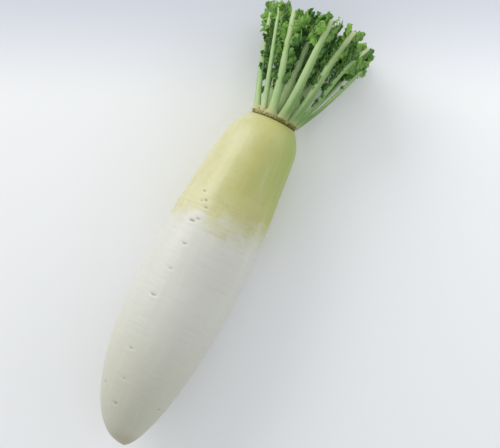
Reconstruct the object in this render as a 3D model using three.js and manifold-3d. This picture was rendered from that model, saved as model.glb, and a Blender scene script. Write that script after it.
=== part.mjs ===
// Daikon radish with its leaf stalks trimmed short, lying on its side.
//
// Millimetres. +X runs along the root from the tail tip to the leaf stalks, +Z is up, and the radish
// lies on z = 0. The origin is the middle of the underside of the whole radish's box.
//
// Three kinds of piece: the root, the crown that the leaves grow from, and one leaf stalk for each
// leaf, with the leaflets that are left on it. The stalks stand in three rings. Everything above the
// crown is laid out in fan coordinates: a height over the root's top, a turn round the root's axis,
// and a share of the spread that the outer ring has at that height.

import * as THREE from "three";
import { mergeVertices } from "three/addons/utils/BufferGeometryUtils.js";
import Module from "manifold-3d";

const wasm = await Module();
wasm.setup();

// ---------- driving dimensions ----------

const ROOT_LENGTH = 298; // tail tip to the top of the shoulder
const BELLY_RADIUS = 42; // at the root's widest, half way along
const BOW = 9; // how far the root's middle line bends to +Y
const FLAT_SINK = 1.6; // how far the belly is pressed flat where it rests
const AXIS_DROP = 5; // how far the axis falls from the belly to the crown

const CROWN_RADIUS = 19.8; // the corky ring under the outer stalks
const PIECE_GAP = 0.3; // between pieces that touch

const STALK_RISE = 90; // root top to the knife cut, outer ring
const FAN_BASE = 16.5; // distance of the outer stalks from the axis at the root's top
const FAN_SLOPE = 0.5; // how steeply the outer stalks start outwards
const FAN_SPREAD = 48.5; // distance of the outer stalks from the axis at the cut
const FAN_OFFSET = -1.8; // how far the crown and the fan stand beside the root's axis
const FAN_DRIFT = -7; // how much further aside the fan's axis has leant by the cut
const STALK_OVER_FLOOR = 4.3; // middle of the lowest stalk over the surface at the cut

const LEAF_THICKNESS = 0.8;
const CELL_GAP = 0.5; // kept clear between the leaflets of neighbouring stalks
const HIGHEST_Q = 1.22; // how far out a leaflet may reach, as a share of the outer ring's spread

// Each ring of stalks: its share of the spread, the step of the crown that it stands on, half the
// width and half the thickness at the base and at the cut, how far in its leaflets may reach, and
// its leaflets: how many on each side, the first one's height, the longest one's length and how they
// fold. Then its stalks: turn in degrees at the base, that it bends towards, and at the cut, then
// stoutness and height of the cut. Last, up to what height a stalk is bare on each of its edges.
const RINGS = [
  {
    name: "outer", q: 1, step: 3.1, wide: [4.1, 2.3], thick: [3.1, 2.1],
    inner: 0.775, leaflets: 4, lowest: 22, longest: 23, fold: [-25, 35],
    stalks: [
      [19, 5, 6, 1.1, 91.5], [50, 22, 31, 1.1, 91.5], [78, 32, 62, 0.85, 87],
      [104, 70, 100, 0.9, 88], [131, 127, 125, 0.85, 87], [159, 154, 150, 0.85, 89],
      [189, 182, 176, 0.85, 88], [221, 212, 206, 0.85, 90], [256, 246, 242, 0.9, 88],
      [294, 288, 288, 1.1, 92], [321, 315, 303, 0.75, 90], [348, 333, 326, 1, 88.5],
    ],
    bare: { 0: [60, 0], 2: [0, 58], 3: [58, 62], 9: [60, 30], 10: [32, 0] },
  },
  {
    name: "middle", q: 0.55, step: 5.1, wide: [4.2, 2.3], thick: [2.6, 1.9],
    inner: 0.37, leaflets: 4, lowest: 30, longest: 22, fold: [-40, 15],
    stalks: [
      [-2, -12, -13, 0.95, 95], [73, 67, 62, 1, 91.5], [146, 139, 133, 1, 89],
      [218, 214, 211, 1, 92.5], [290, 286, 282, 0.95, 90],
    ],
    bare: {},
  },
  {
    name: "inner", q: 0.2, step: 7.1, wide: [2.3, 2.0], thick: [2.0, 1.7],
    inner: 0.05, leaflets: 2, lowest: 50, longest: 13, fold: [-50, -25],
    stalks: [[40, 32, 25, 1, 93], [160, 151, 143, 1, 91], [280, 271, 262, 1, 94]],
    bare: {},
  },
];
const STALK_TAPER = 0.8; // how a stalk narrows: 1 is evenly, less is mostly near its base

// Mesh fineness: sides round the shape and steps along it.
const ROOT_SIDES = 37;
const ROOT_STEPS = 32;
const STALK_SIDES = 8;
const STALK_STEPS = 7;
const CROWN_SIDES = 45;
const SHORTEST_EDGE = 0.03;

// Outline of a leaflet from its stalk to its tip: share of the length, and half width as a share.
const LARGE_LEAFLET = [[0, 0.07], [0.3, 0.36], [0.48, 0.27], [0.76, 0.44], [1, 0]];
const SMALL_LEAFLET = [[0, 0.12], [0.55, 0.34], [1, 0]];
const SMALL_BELOW = 8; // leaflets shorter than this have the plainer outline

// ---------- small helpers ----------

const radians = (degrees) => (degrees * Math.PI) / 180;
const mix = (a, b, share) => a + (b - a) * share;
const smooth = (share) => share * share * (3 - 2 * share);
const clamp01 = (value) => Math.min(1, Math.max(0, value));

// A repeatable draw between 0 and 1 for one leaflet or stalk.
function draw(stalk, item, salt) {
  const wave = Math.sin(stalk * 127.1 + item * 311.7 + salt * 74.7) * 43758.5453;
  return wave - Math.floor(wave);
}

// Moves a closed three.js cylinder's vertices: place(along, turn, out) gives the point for a share
// along the axis, an angle round it and a share from the axis to the rim.
function loft(sides, steps, place) {
  const geometry = new THREE.CylinderGeometry(1, 1, 1, sides, steps);
  const position = geometry.getAttribute("position");
  for (let i = 0; i < position.count; i++) {
    const x = position.getX(i);
    const z = position.getZ(i);
    const point = place(position.getY(i) + 0.5, Math.atan2(x, z), Math.hypot(x, z));
    position.setXYZ(i, point.x, point.y, point.z);
  }
  return geometry;
}

// A closed geometry as a manifold-3d solid, with its corners merged and empty triangles dropped.
function solidOf(geometry) {
  const plain = geometry.clone();
  plain.deleteAttribute("normal");
  plain.deleteAttribute("uv");
  const merged = mergeVertices(plain, 1e-3);
  const kept = [];
  for (let i = 0; i < merged.index.count; i += 3) {
    const [a, b, c] = [0, 1, 2].map((corner) => merged.index.getX(i + corner));
    if (a !== b && b !== c && c !== a) kept.push(a, b, c);
  }
  const made = new wasm.Manifold(
    new wasm.Mesh({
      numProp: 3,
      vertProperties: merged.getAttribute("position").array,
      triVerts: new Uint32Array(kept),
    }),
  );
  return made;
}

// The solid without the small pockets that are closed in where leaflets cross, and without the
// slivers left along the crossings.
function outerShell(solid) {
  let shell = solid.simplify(SHORTEST_EDGE);
  for (let pass = 0; pass < 3; pass++) {
    const shells = solidOf(geometryOf(shell)).decompose().filter((part) => part.volume() > 0);
    if (shells.length !== 1) throw new Error("a leaflet has come off its stalk");
    shell = shells[0];
  }
  return shell;
}

function geometryOf(solid) {
  const mesh = solid.getMesh();
  const points = new Float32Array(mesh.numVert * 3);
  for (let i = 0; i < mesh.numVert; i++) {
    points.set(mesh.vertProperties.subarray(i * mesh.numProp, i * mesh.numProp + 3), i * 3);
  }
  const geometry = new THREE.BufferGeometry();
  geometry.setAttribute("position", new THREE.BufferAttribute(points, 3));
  geometry.setIndex(new THREE.BufferAttribute(mesh.triVerts, 1));
  geometry.computeVertexNormals();
  return geometry;
}

// ---------- the root ----------

// Height of the root's axis, which goes on as the fan's axis beyond the crown.
function axisHeight(x) {
  const half = ROOT_LENGTH / 2;
  return BELLY_RADIUS - FLAT_SINK - (AXIS_DROP * (x - half)) / half;
}

// The root's radius: a round nose, a belly half way, a slimmer neck and a round shoulder.
function rootRadius(share) {
  const nose = Math.sqrt(1 - Math.pow(1 - clamp01(2 * share), 2.2));
  const neck = 1 - 0.318 * Math.pow(clamp01(2 * share - 1), 1.7);
  const shoulder = Math.sqrt(1 - 0.48 * clamp01((share - 0.92) / 0.08) ** 2);
  const tail = 1.6 * (1 - share); // the nub where the taproot broke off
  return Math.max(tail, BELLY_RADIUS * nose * neck * shoulder);
}

// How far the root's middle line lies to +Y: it bends, and then meets the crown beside the axis.
function rootBow(share) {
  return BOW * Math.sin(Math.PI * Math.pow(share, 0.42)) + FAN_OFFSET * Math.pow(share, 6);
}

// The root isn't quite round: a slow wave runs round it and along it.
function rootUneven(share, turn) {
  const swell = 0.009 * Math.cos(2 * turn + 5 * share) + 0.006 * Math.cos(3 * turn - 9 * share + 1);
  return 1 + swell * Math.sin(Math.PI * share);
}

function rootPoint(along, turn, out) {
  const share = (1 - Math.cos(Math.PI * along)) / 2;
  const x = share * ROOT_LENGTH;
  const radius = out * rootRadius(share) * rootUneven(share, turn);
  const z = axisHeight(x) + radius * Math.cos(turn);
  return new THREE.Vector3(x, rootBow(share) - radius * Math.sin(turn), Math.max(0, z));
}

// How far beside the root's axis the crown and the fan are at a height over the root's top.
function fanSide(height) {
  return FAN_OFFSET + FAN_DRIFT * Math.pow(Math.max(0, height) / STALK_RISE, 0.6);
}

// ---------- the crown ----------

// The crown's rim swells where the outer stalks stand on it.
function crownRim(turn) {
  const swell = Math.cos(12 * turn - 4.2);
  return CROWN_RADIUS * (1 + 0.022 * swell + 0.012 * Math.cos(23 * turn + 1));
}

// The crown's section, as height over the root's top and share of the rim: a corky ring with a step
// for each ring of stalks.
function crownSection() {
  const [low, mid, high] = RINGS.map((ring) => ring.step);
  return [
    [PIECE_GAP, 0], [PIECE_GAP, 0.93], [1.1, 1], [2.3, 0.99], [low, 0.95],
    [low, 0.61], [mid, 0.6], [mid, 0.3], [high, 0.29], [high, 0],
  ];
}

function crownGeometry() {
  const profile = crownSection().map(([height, out]) => new THREE.Vector2(out, height));
  const geometry = new THREE.LatheGeometry(profile, CROWN_SIDES);
  const position = geometry.getAttribute("position");
  for (let i = 0; i < position.count; i++) {
    const turn = Math.atan2(position.getX(i), position.getZ(i));
    const out = Math.hypot(position.getX(i), position.getZ(i)) * crownRim(turn);
    const x = ROOT_LENGTH + position.getY(i);
    const side = fanSide(position.getY(i)) - out * Math.sin(turn);
    position.setXYZ(i, x, side, axisHeight(x) + out * Math.cos(turn));
  }
  return geometry;
}

// ---------- the fan of stalks ----------

// Distance of the outer ring from the axis at a height and turn: it curves outwards and then back
// in, and flattens where the surface that the radish lies on is in its way.
function spread(height, turn) {
  const bend = (FAN_BASE + FAN_SLOPE * STALK_RISE - FAN_SPREAD) / STALK_RISE ** 2;
  const free = FAN_BASE + FAN_SLOPE * height - bend * height ** 2;
  const down = -Math.cos(turn);
  if (down <= 0.05) return free;
  const floor = (axisHeight(ROOT_LENGTH + height) - STALK_OVER_FLOOR) / down;
  return Math.pow(Math.pow(free, -10) + Math.pow(floor, -10), -0.1);
}

function fanPoint(height, turn, q) {
  const x = ROOT_LENGTH + height;
  const out = q * spread(height, turn);
  const side = fanSide(height) - out * Math.sin(turn);
  return new THREE.Vector3(x, side, axisHeight(x) + out * Math.cos(turn));
}

// Turn of a stalk at a height, on its way from its place on the crown to its place at the cut.
function stalkTurn(ring, index, height) {
  const [first, way, last] = ring.stalks[index];
  const share = clamp01(height / STALK_RISE);
  return radians(mix(mix(first, way, share), mix(way, last, share), share));
}

const stoutness = (ring, index) => ring.stalks[index][3];
const stalkTop = (ring, index) => ring.stalks[index][4];

// How far a stalk has tapered from its base to its cut at a height, from 0 to 1.
function stalkTaper(ring, index, height) {
  const base = ring.step + PIECE_GAP;
  return Math.pow(clamp01((height - base) / (stalkTop(ring, index) - base)), STALK_TAPER);
}

// A stalk's section is round outside and nearly flat inside, with a shallow groove.
function stalkPoint(ring, index, along, turn, out) {
  const base = ring.step + PIECE_GAP;
  const height = mix(base, stalkTop(ring, index), along);
  const place = stalkTurn(ring, index, height);
  const centre = fanPoint(height, place, ring.q);
  const taper = stalkTaper(ring, index, height);
  const stout = stoutness(ring, index) * out;
  const wide = mix(ring.wide[0], ring.wide[1], taper) * stout;
  const thick = mix(ring.thick[0], ring.thick[1], taper) * stout;
  const c = Math.cos(turn);
  const radial = thick * (c > 0 ? c : 0.75 * c * (1 - 0.45 * c * c));
  const sideways = wide * Math.sin(turn);
  centre.y += -radial * Math.sin(place) - sideways * Math.cos(place);
  centre.z += radial * Math.cos(place) - sideways * Math.sin(place);
  return centre;
}

// ---------- leaflets ----------

// Keeps a distance from the middle under a limit, without a corner.
const press = (distance, limit) => distance / Math.pow(1 + Math.pow(distance / limit, 4), 0.25);

// Bends a point of a leaflet into its stalk's own cell of the fan, so that it never crosses the
// leaflets of another stalk, or the surface below.
function intoCell(ring, index, point) {
  const height = point.x - ROOT_LENGTH;
  const up = point.z - axisHeight(point.x);
  const aside = fanSide(height) - point.y;
  const home = stalkTurn(ring, index, height);
  const reach = Math.hypot(aside, up);
  let off = Math.atan2(aside, up) - home;
  off -= 2 * Math.PI * Math.round(off / (2 * Math.PI));
  const step = off > 0 ? 1 : -1;
  const count = ring.stalks.length;
  const next = stalkTurn(ring, (index + step + count) % count, height);
  let room = step * (next - home);
  room -= 2 * Math.PI * Math.floor(room / (2 * Math.PI));
  const inset = (LEAF_THICKNESS + CELL_GAP) / 2;
  const edge = Math.max(room / 2 - inset / Math.max(reach, 2 * inset), 0.3 * room);
  const turn = home + step * press(Math.abs(off), edge);
  const wide = spread(height, turn);
  const outer = RINGS[RINGS.indexOf(ring) - 1];
  const down = -Math.cos(turn);
  const floor = down > 0.05 ? (axisHeight(point.x) - inset) / down / wide : HIGHEST_Q;
  const highest = outer ? outer.inner - inset / wide : Math.min(HIGHEST_Q, floor);
  const lowest = ring.inner + inset / wide;
  const q = reach / wide - ring.q;
  const limit = q > 0 ? highest - ring.q : ring.q - lowest;
  return fanPoint(height, turn, ring.q + Math.sign(q) * press(Math.abs(q), limit));
}

// Where the leaflets sit on one edge of a stalk: the height of each and the number it draws with.
function leafletPlaces(ring, index, side) {
  const id = 100 * RINGS.indexOf(ring) + index;
  const bareTo = (ring.bare[index] ?? [0, 0])[side > 0 ? 1 : 0];
  const places = [];
  for (let item = 0; item < ring.leaflets; item++) {
    const key = 2 * item + (side > 0 ? 1 : 0);
    const share = (item + (side > 0 ? 0.5 : 0) + 0.3 * draw(id, key, 3)) / ring.leaflets;
    const height = mix(ring.lowest, stalkTop(ring, index) - 9, clamp01(share));
    if (height > bareTo) places.push([height, key]);
  }
  return places;
}

// One leaflet: a thin blade on one edge of a stalk, leaning outwards. Its neighbours lean and turn
// much as it does, like the slats of a blind. Both faces are split into triangles alike.
function leafletGeometry(ring, index, side, height, key) {
  const id = 100 * RINGS.indexOf(ring) + index;
  const cut = stalkTop(ring, index);
  const lean = radians(mix(44, 58, draw(id, side, 4)) + 8 * draw(id, key, 4) + (12 * height) / cut);
  const room = (cut + 4 * draw(id, key, 5) - height) / Math.cos(lean);
  const size = ring.longest * mix(0.85, 1.1, draw(id, key, 6));
  const length = Math.min(mix(4, size, Math.pow(height / cut, 1.1)), room);
  const fold = radians(mix(...ring.fold, draw(id, side, 7)) + 10 * draw(id, key, 7));
  const roll = side * radians(mix(25, 45, draw(id, side, 8)) + 8 * draw(id, key, 8));

  const turn = stalkTurn(ring, index, height);
  const outwards = new THREE.Vector3(0, -Math.sin(turn), Math.cos(turn));
  const sideways = new THREE.Vector3(0, -Math.cos(turn), -Math.sin(turn)).multiplyScalar(side);
  const up = new THREE.Vector3(1, 0, 0);
  const away = sideways.clone().multiplyScalar(Math.cos(fold)).addScaledVector(outwards, -Math.sin(fold));
  const along = up.clone().multiplyScalar(Math.cos(lean)).addScaledVector(away, Math.sin(lean));
  const face = along.clone().cross(away).normalize().applyAxisAngle(along, roll);
  const across = face.clone().cross(along);

  const wide = mix(ring.wide[0], ring.wide[1], stalkTaper(ring, index, height)) * stoutness(ring, index);
  const foot = fanPoint(height, turn, ring.q).addScaledVector(sideways, 0.6 * wide);
  const outline = length < SMALL_BELOW ? SMALL_LEAFLET : LARGE_LEAFLET;
  const curl = 0.12 * length;

  const middle = outline.map(([v, half]) => [-1, 0, 1].map((u) => {
    const point = foot.clone().addScaledVector(along, length * v);
    point.addScaledVector(up, curl * v * v).addScaledVector(away, -0.8 * curl * v * v);
    point.addScaledVector(across, u * length * half);
    point.addScaledVector(face, 0.3 * length * half * Math.abs(u));
    return intoCell(ring, index, point);
  }));
  return bladeGeometry(middle);
}

// A closed blade of even thickness round a grid of middle points: rows along it, three across.
function bladeGeometry(middle) {
  const rows = middle.length;
  const columns = 3;
  const points = [];
  for (const side of [-0.5, 0.5]) {
    middle.forEach((row, i) => row.forEach((point, j) => {
      const before = middle[Math.max(i - 1, 0)][1];
      const after = middle[Math.min(i + 1, rows - 1)][1];
      const near = middle[i === rows - 1 ? i - 1 : i];
      const face = after.clone().sub(before).cross(near[2].clone().sub(near[0])).normalize();
      points.push(point.clone().addScaledVector(face, side * LEAF_THICKNESS));
    }));
  }
  const under = rows * columns;
  const index = [];
  const quad = (a, b, c, d) => index.push(a, b, c, a, c, d);
  for (let i = 0; i + 1 < rows; i++) {
    const here = i * columns;
    const next = here + columns;
    for (let j = 0; j + 1 < columns; j++) {
      quad(here + j, here + j + 1, next + j + 1, next + j);
      index.push(under + here + j, under + next + j + 1, under + here + j + 1);
      index.push(under + here + j, under + next + j, under + next + j + 1);
    }
    quad(under + here, here, next, under + next);
    quad(here + 2, under + here + 2, under + next + 2, next + 2);
  }
  quad(under, under + 1, 1, 0);
  quad(under + 1, under + 2, 2, 1);
  const geometry = new THREE.BufferGeometry().setFromPoints(points);
  geometry.setIndex(index);
  return geometry;
}

// A stalk with its leaflets as one solid.
function leafStalk(ring, index) {
  const place = (along, turn, out) => stalkPoint(ring, index, along, turn, out);
  let solid = solidOf(loft(STALK_SIDES, STALK_STEPS, place));
  if (solid.volume() < 0) throw new Error("the stalk is inside out");
  for (const side of [-1, 1]) {
    for (const [height, key] of leafletPlaces(ring, index, side)) {
      solid = solid.add(solidOf(leafletGeometry(ring, index, side, height, key)));
    }
  }
  return geometryOf(outerShell(solid));
}

// ---------- materials and pieces ----------

const material = (name, color, roughness) =>
  new THREE.MeshStandardMaterial({ name, color, roughness, metalness: 0 });

const SKIN = material("root_skin", 0xe6e4d4, 0.42);
const CORK = material("crown_cork", 0x9a8a58, 0.85);
const STALK = material("leaf_stalk", 0x9dbf73, 0.5);

const radish = new THREE.Group();

function addPiece(name, geometry, finish) {
  const mesh = new THREE.Mesh(geometry, finish);
  mesh.name = name;
  radish.add(mesh);
}

addPiece("root", loft(ROOT_SIDES, ROOT_STEPS, rootPoint), SKIN);
addPiece("crown", crownGeometry(), CORK);
for (const ring of RINGS) {
  for (let index = 0; index < ring.stalks.length; index++) {
    addPiece(`stalk_${ring.name}_${index + 1}`, leafStalk(ring, index), STALK);
  }
}

// The origin goes to the middle of the box's underside.
const box = new THREE.Box3().setFromObject(radish);
radish.position.set(-(box.min.x + box.max.x) / 2, -(box.min.y + box.max.y) / 2, 0);

export default radish;
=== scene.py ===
import math

import bpy
import numpy as np
from bpy.props import (
    FloatProperty,
    FloatVectorProperty,
    IntProperty,
    PointerProperty,
)
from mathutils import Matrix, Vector, noise


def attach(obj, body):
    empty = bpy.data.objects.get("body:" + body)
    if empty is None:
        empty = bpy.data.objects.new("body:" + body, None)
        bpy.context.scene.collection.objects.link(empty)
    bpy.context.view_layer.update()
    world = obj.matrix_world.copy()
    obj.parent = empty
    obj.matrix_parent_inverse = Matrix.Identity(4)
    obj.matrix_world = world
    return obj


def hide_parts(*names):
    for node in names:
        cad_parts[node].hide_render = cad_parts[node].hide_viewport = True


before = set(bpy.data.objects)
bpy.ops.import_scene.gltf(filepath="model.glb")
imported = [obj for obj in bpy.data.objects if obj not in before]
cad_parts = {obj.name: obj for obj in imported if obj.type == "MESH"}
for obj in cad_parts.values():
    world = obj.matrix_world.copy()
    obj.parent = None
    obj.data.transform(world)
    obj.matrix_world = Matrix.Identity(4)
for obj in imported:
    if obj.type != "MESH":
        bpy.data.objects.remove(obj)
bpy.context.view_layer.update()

bl_info = {
    "name": "Daikon Radish",
    "version": (1, 0, 0),
    "blender": (4, 5, 0),
    "location": "View3D > Sidebar > Daikon",
    "description": "Gives the plain solids of a trimmed white radish their skin, stalks and leaflets",
    "category": "Object",
}

# ---------------------------------------------------------------- sizes of the solids
# Millimetres, measured from the tail tip: x along the root, z up from the surface. These are the
# sizes that the solids were made from, so every finer piece lies where its solid lies.

MM = 0.001
ROOT_LENGTH = 298.0  # tail tip to the top of the shoulder
BELLY_RADIUS = 42.0
BOW = 9.0  # how far the root's middle line bends to the side
FLAT_SINK = 1.6  # how far the belly is pressed flat where it rests
AXIS_DROP = 5.0  # how far the axis falls from the belly to the crown
CROWN_RADIUS = 19.8
PIECE_GAP = 0.3
STALK_RISE = 90.0  # root top to the knife cut, outer ring
FAN_BASE = 16.5  # distance of the outer stalks from the axis at the root's top
FAN_SLOPE = 0.5  # how steeply the outer stalks start outwards
FAN_SPREAD = 48.5  # distance of the outer stalks from the axis at the cut
FAN_OFFSET = -1.8  # how far the fan's foot stands beside the root's axis
FAN_DRIFT = -7.0  # how much further aside the fan's axis has leant by the cut
STALK_OVER_FLOOR = 4.3  # middle of the lowest stalk over the surface at the cut
CELL_INSET = 0.65  # kept clear on each side of the line between two stalks' leaflets
HIGHEST_SHARE = 1.22  # how far out a leaflet may reach, as a share of the outer stalks' distance
STALK_TAPER = 0.8  # how a stalk narrows: 1 is evenly, less is mostly near its base
LEAST_DOWN = 0.05  # cosine from which a turn counts as pointing down at the surface

# Each ring of stalks as in the solids: its share of the outer stalks' distance from the fan's axis,
# the height of the crown's step that it stands on, half a stalk's width and thickness at the base
# and at the cut, and how far in its leaflets may reach. Then the pairs of large leaflets on each
# stalk, the height of the lowest, the length of the longest, how far they fold inwards in degrees,
# and how much lighter than others they are painted: painted light on the outer ring, painted shade
# on the rings deeper in the fan. A stalk is its turn in degrees at the base, the turn
# that it bends towards, and its turn at the cut, then its stoutness and the height of its cut.
# Bare says up to what height a stalk has no leaflets on each of its edges.
RING_NAMES = ("outer", "middle", "inner")
RINGS = (
    dict(share=1.0, step=3.1, wide=(4.1, 2.3), thick=(3.1, 2.1), inner=0.775,
         leaflets=4, lowest=22, longest=23, fold=(-25, 35), light=0.1, stalks=(
             (19, 5, 6, 1.1, 91.5), (50, 22, 31, 1.1, 91.5), (78, 32, 62, 0.85, 87),
             (104, 70, 100, 0.9, 88), (131, 127, 125, 0.85, 87), (159, 154, 150, 0.85, 89),
             (189, 182, 176, 0.85, 88), (221, 212, 206, 0.85, 90), (256, 246, 242, 0.9, 88),
             (294, 288, 288, 1.1, 92), (321, 315, 303, 0.75, 90), (348, 333, 326, 1, 88.5)),
         bare={0: (60, 0), 2: (0, 58), 3: (58, 62), 4: (56, 56), 5: (50, 46), 9: (60, 30), 10: (32, 0)}),
    dict(share=0.55, step=5.1, wide=(4.2, 2.3), thick=(2.6, 1.9), inner=0.37,
         leaflets=4, lowest=30, longest=22, fold=(-40, 15), light=-0.4, stalks=(
             (-2, -12, -13, 0.95, 95), (73, 67, 62, 1, 91.5), (146, 139, 133, 1, 89),
             (218, 214, 211, 1, 92.5), (290, 286, 282, 0.95, 90)), bare={1: (0, 58), 2: (50, 40)}),
    dict(share=0.2, step=7.1, wide=(2.3, 2.0), thick=(2.0, 1.7), inner=0.05,
         leaflets=2, lowest=50, longest=13, fold=(-50, -25), light=-0.2, stalks=(
             (40, 32, 25, 1, 93), (160, 151, 143, 1, 91), (280, 271, 262, 1, 94)), bare={}),
)


def points_of(mesh):
    """Where a mesh's points are, one row for each."""
    points = np.empty(len(mesh.vertices) * 3, np.float32)
    mesh.vertices.foreach_get("co", points)
    return points.reshape(-1, 3).astype(float)


def tail_tip():
    """Where the measuring point, under the tail tip, lies in the row frame, in millimetres."""
    points = points_of(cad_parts["root"].data) / MM
    tip = points[points[:, 0] < points[:, 0].min() + 0.001]
    middle = (tip.min(axis=0) + tip.max(axis=0)) / 2
    return np.array([middle[0], middle[1], 0.0])


TAIL = tail_tip()


def place(points):
    """Millimetres from the tail tip to metres in the row frame."""
    return (np.asarray(points, float) + TAIL) * MM


# ---------------------------------------------------------------- the shape of the radish


def mix(a, b, share):
    """What lies at a share of the way from a to b."""
    return a + (b - a) * share


def wrapped(turn):
    """The same turn, at most half a circle either way."""
    return turn - 2 * np.pi * np.round(turn / (2 * np.pi))


def draw(stalk, item, salt):
    """A repeatable number between 0 and 1 for one stalk or leaflet."""
    wave = math.sin(stalk * 127.1 + item * 311.7 + salt * 74.7) * 43758.5453
    return wave - math.floor(wave)


def axis_height(x):
    """Height of the middle line over the surface."""
    half = ROOT_LENGTH / 2
    return BELLY_RADIUS - FLAT_SINK - AXIS_DROP * (x - half) / half


def root_radius(share):
    """The root's radius at a share of its length from the tail tip."""
    nose = np.sqrt(1 - (1 - np.clip(2 * share, 0, 1)) ** 2.2)
    neck = 1 - 0.318 * np.clip(2 * share - 1, 0, 1) ** 1.7
    shoulder = np.sqrt(1 - 0.48 * np.clip((share - 0.92) / 0.08, 0, 1) ** 2)
    nub = 1.6 * (1 - share)  # where the taproot broke off
    return np.maximum(nub, BELLY_RADIUS * nose * neck * shoulder)


def root_bow(share):
    """How far the root's middle line is bent to the side."""
    return BOW * np.sin(np.pi * share**0.42) + FAN_OFFSET * share**6


def root_uneven(share, turn):
    """How far the root's section is out of round, as a factor of its radius."""
    swell = 0.009 * np.cos(2 * turn + 5 * share) + 0.006 * np.cos(3 * turn - 9 * share + 1)
    return 1 + swell * np.sin(np.pi * share)


def crown_rim(turn):
    """The crown's radius at a turn, with as many swellings as there are outer stalks."""
    swell = np.cos(12 * turn - 4.2)
    return CROWN_RADIUS * (1 + 0.022 * swell + 0.012 * np.cos(23 * turn + 1))


def spread(height, turn):
    """Distance of the outer stalks from the fan's axis, at a height over the root and a turn."""
    bend = (FAN_BASE + FAN_SLOPE * STALK_RISE - FAN_SPREAD) / STALK_RISE**2
    free = FAN_BASE + FAN_SLOPE * height - bend * height**2
    down = np.maximum(-np.cos(turn), LEAST_DOWN)
    floor = (axis_height(ROOT_LENGTH + height) - STALK_OVER_FLOOR) / down
    held = (free**-10 + floor**-10) ** -0.1
    return np.where(-np.cos(turn) <= LEAST_DOWN, free, held)


def fan_side(height):
    """How far the fan's axis stands aside, at a height over the root."""
    return FAN_OFFSET + FAN_DRIFT * (np.maximum(height, 0) / STALK_RISE) ** 0.6


def fan_point(height, turn, share):
    """A point of the fan, at a share of the outer stalks' distance from its axis."""
    out = share * spread(height, turn)
    x = ROOT_LENGTH + height
    side = fan_side(height) - out * np.sin(turn)
    return np.stack(np.broadcast_arrays(x, side, axis_height(x) + out * np.cos(turn)), axis=-1)


def directions(turn):
    """Outwards from the fan's axis, and sideways round it, at a turn."""
    none, sine, cosine = np.zeros_like(turn), np.sin(turn), np.cos(turn)
    return np.stack([none, -sine, cosine], -1), np.stack([none, -cosine, -sine], -1)


UP = Vector((1, 0, 0))  # along the fan's axis, from the crown to the cuts


def stalk_count(ring):
    """How many stalks a ring has."""
    return len(RINGS[ring]["stalks"])


def stalk_nodes(ring):
    """Names of the solids of one ring of stalks."""
    return [f"stalk_{RING_NAMES[ring]}_{i + 1}" for i in range(stalk_count(ring))]


def stalk_turn(ring, index, height):
    """Turn of a stalk round the fan's axis at a height, in radians."""
    first, way, last = RINGS[ring]["stalks"][index % stalk_count(ring)][:3]
    share = np.clip(height / STALK_RISE, 0, 1)
    return np.radians(mix(mix(first, way, share), mix(way, last, share), share))


def stalk_top(ring, index):
    """Height of a stalk's cut over the root."""
    return RINGS[ring]["stalks"][index][4]


def stalk_half(ring, index, height, way="wide"):
    """Half a stalk's width or thickness at a height."""
    info = RINGS[ring]
    base = info["step"] + PIECE_GAP
    share = np.clip((height - base) / (stalk_top(ring, index) - base), 0, 1) ** STALK_TAPER
    return mix(*info[way], share) * info["stalks"][index][3]


def press(distance, limit):
    """Keeps a distance under a limit, without a corner."""
    return distance / (1 + (distance / limit) ** 4) ** 0.25


def into_cell(ring, index, points):
    """Bends points of a leaflet into its stalk's own part of the fan, clear of its neighbours."""
    info = RINGS[ring]
    height = points[:, 0] - ROOT_LENGTH
    up = points[:, 2] - axis_height(points[:, 0])
    aside = fan_side(height) - points[:, 1]
    home = stalk_turn(ring, index, height)
    reach = np.hypot(aside, up)
    off = wrapped(np.arctan2(aside, up) - home)
    step = np.where(off > 0, 1, -1)
    after, before = stalk_turn(ring, index + 1, height), stalk_turn(ring, index - 1, height)
    room = step * (np.where(off > 0, after, before) - home)
    room -= 2 * np.pi * np.floor(room / (2 * np.pi))
    edge = np.maximum(room / 2 - CELL_INSET / np.maximum(reach, 2 * CELL_INSET), 0.3 * room)
    turn = home + step * press(np.abs(off), edge)
    wide = spread(height, turn)
    if ring == 0:
        down = np.maximum(-np.cos(turn), LEAST_DOWN)
        highest = np.minimum(HIGHEST_SHARE, (axis_height(points[:, 0]) - CELL_INSET) / down / wide)
    else:
        highest = RINGS[ring - 1]["inner"] - CELL_INSET / wide
    lowest = info["inner"] + CELL_INSET / wide
    share = reach / wide - info["share"]
    limit = np.where(share > 0, highest - info["share"], info["share"] - lowest)
    return fan_point(height, turn, info["share"] + np.sign(share) * press(np.abs(share), limit))


# ---------------------------------------------------------------- small makers


def new_object(name, points, faces, edges=()):
    """An object in the scene, with its points in metres in the row frame."""
    mesh = bpy.data.meshes.new(name)
    mesh.from_pydata([tuple(p) for p in points], list(edges), faces)
    mesh.update()
    made = bpy.data.objects.new(name, mesh)
    bpy.context.scene.collection.objects.link(made)
    return made


def give(mesh, data_type, /, **held):
    """Stores values for each point of a mesh, by name: FLOAT, INT or FLOAT_VECTOR."""
    for name, values in held.items():
        layer = mesh.attributes.new(name, data_type, "POINT")
        key = "vector" if data_type == "FLOAT_VECTOR" else "value"
        layer.data.foreach_set(key, np.asarray(values).ravel())


def take(mesh, name):
    """Reads back the number that each point of a mesh holds."""
    layer = mesh.attributes[name]
    values = np.empty(len(layer.data))
    layer.data.foreach_get("value", values)
    return values


def face_outwards(mesh):
    """Turns a closed mesh's faces over if they point inwards."""
    mesh.calc_loop_triangles()
    corners = np.empty(len(mesh.loop_triangles) * 3, np.int32)
    mesh.loop_triangles.foreach_get("vertices", corners)
    a, b, c = points_of(mesh)[corners.reshape(-1, 3)].transpose(1, 0, 2)
    if np.einsum("ij,ij->i", a, np.cross(b, c)).sum() < 0:
        mesh.flip_normals()


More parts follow.
